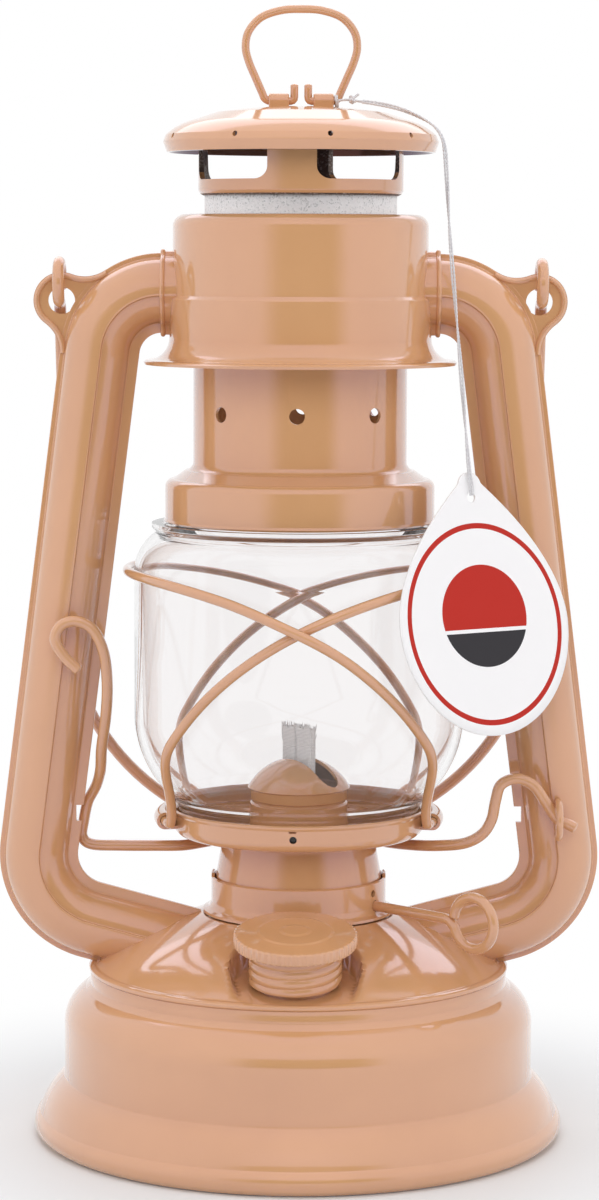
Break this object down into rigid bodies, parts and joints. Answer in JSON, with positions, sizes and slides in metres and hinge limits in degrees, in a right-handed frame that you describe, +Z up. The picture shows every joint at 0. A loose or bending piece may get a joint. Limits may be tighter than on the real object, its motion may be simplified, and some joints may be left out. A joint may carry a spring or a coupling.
{
  "type": "hurricane lantern",
  "caption": "Painted tubular oil lantern with round tank, clear globe in crossed wire guard, vented hood, wire lift lever, wick knob, screw filler cap and swinging bail.",
  "frame": {"origin": "bottom centre of the foot, on the table", "axes": "+Z up along the chimney, +X to the right tube, -Y to the filler cap at the front"},
  "size_m": [0.1506, 0.1332, 0.282],
  "materials": {
    "paint": "glossy enamel over sheet steel",
    "galvanised": "galvanised",
    "spring_steel": "drawn wire",
    "brass": "plain",
    "wick_cotton": "woven cotton",
    "seal_rubber": "matt",
    "globe_glass": "clear",
    "string": "twisted thread",
    "card": "smooth card"
  },
  "bodies": {
    "frame": {"tank_shell": "paint", "tank_bottom": "paint", "fount_top": "galvanised", "tank_dome": "paint", "filler_pocket": "paint", "filler_neck": "galvanised", "burner_collar": "paint", "burner_body": "paint", "burner_dome": "paint", "wick_tube": "brass", "lever_staple": "paint", "left_tube_front": "paint", "left_tube_back": "paint", "right_tube_front": "paint", "right_tube_back": "paint", "left_ear": "paint", "right_ear": "paint", "left_sleeve": "paint", "right_sleeve": "paint", "crown": "paint", "chimney_spring": "spring_steel"},
    "cap_seal": {"cap_gasket": "seal_rubber"},
    "cap": {"fuel_cap": "paint"},
    "wick": {"wick": "wick_cotton"},
    "wick_knob": {"wick_knob": "paint", "spur_wheels": "galvanised"},
    "globe_carrier": {"globe_plate": "paint", "glass_globe": "globe_glass", "left_guard_wire": "paint", "right_guard_wire": "paint"},
    "lift_lever": {"lift_lever": "paint"},
    "chimney": {"chimney_barrel": "paint", "draft_tube": "galvanised", "gallery": "paint", "hood": "paint", "ring_bosses": "paint", "tag_string": "string", "string_knot": "string", "hang_tag": "card"},
    "lift_ring": {"lift_ring": "paint"},
    "bail": {"bail": "paint"}
  },
  "joints": [
    {"name": "globe_lift", "type": "slide", "parent": "frame", "child": "globe_carrier", "axis": [0, 0, 1], "range_m": [0, 0.0057], "deforming": ["chimney_spring"]},
    {"name": "lever_hinge", "type": "hinge", "parent": "frame", "child": "lift_lever", "pos_m": [0.0646, -0.0109, 0.0812], "axis": [0, 1, 0], "range_deg": [0, 5.01]},
    {"name": "chimney_lift", "type": "slide", "parent": "globe_carrier", "child": "chimney", "axis": [0, 0, 1], "range_m": [0, 0.012], "stiffness_N_per_m": 120, "springref_m": -0.01, "deforming": ["chimney_spring"]},
    {"name": "ring_hinge", "type": "hinge", "parent": "chimney", "child": "lift_ring", "pos_m": [0, 0, 0.2586], "axis": [1, 0, 0], "range_deg": [-80, 80]},
    {"name": "bail_hinge", "type": "hinge", "parent": "frame", "child": "bail", "pos_m": [0, 0, 0.21395], "axis": [1, 0, 0], "range_deg": [0, 320]},
    {"name": "knob_turn", "type": "hinge", "parent": "frame", "child": "wick_knob", "pos_m": [0.00349, 0.00372, 0.0594], "axis": [-0.729, 0.6845, 0], "range_deg": [-170, 86]},
    {"name": "wick_rise", "type": "slide", "parent": "frame", "child": "wick", "axis": [0, 0, 1], "range_m": [-0.01157, 0.00585]},
    {"name": "cap_rise", "type": "slide", "parent": "frame", "child": "cap_seal", "axis": [0, -0.1736, 0.9848], "range_m": [0, 0.0091]},
    {"name": "cap_turn", "type": "hinge", "parent": "cap_seal", "child": "cap", "pos_m": [-0.0007, -0.0382, 0.04536], "axis": [0, -0.1736, 0.9848], "range_deg": [0, 1080]}
  ],
  "couplings": [
    {"joint": "lever_hinge", "follows": "globe_lift", "rad_per_m": 15.31},
    {"joint": "knob_turn", "follows": "wick_rise", "rad_per_m": 256.41},
    {"joint": "cap_rise", "follows": "cap_turn", "m_per_rad": 0.000477}
  ]
}
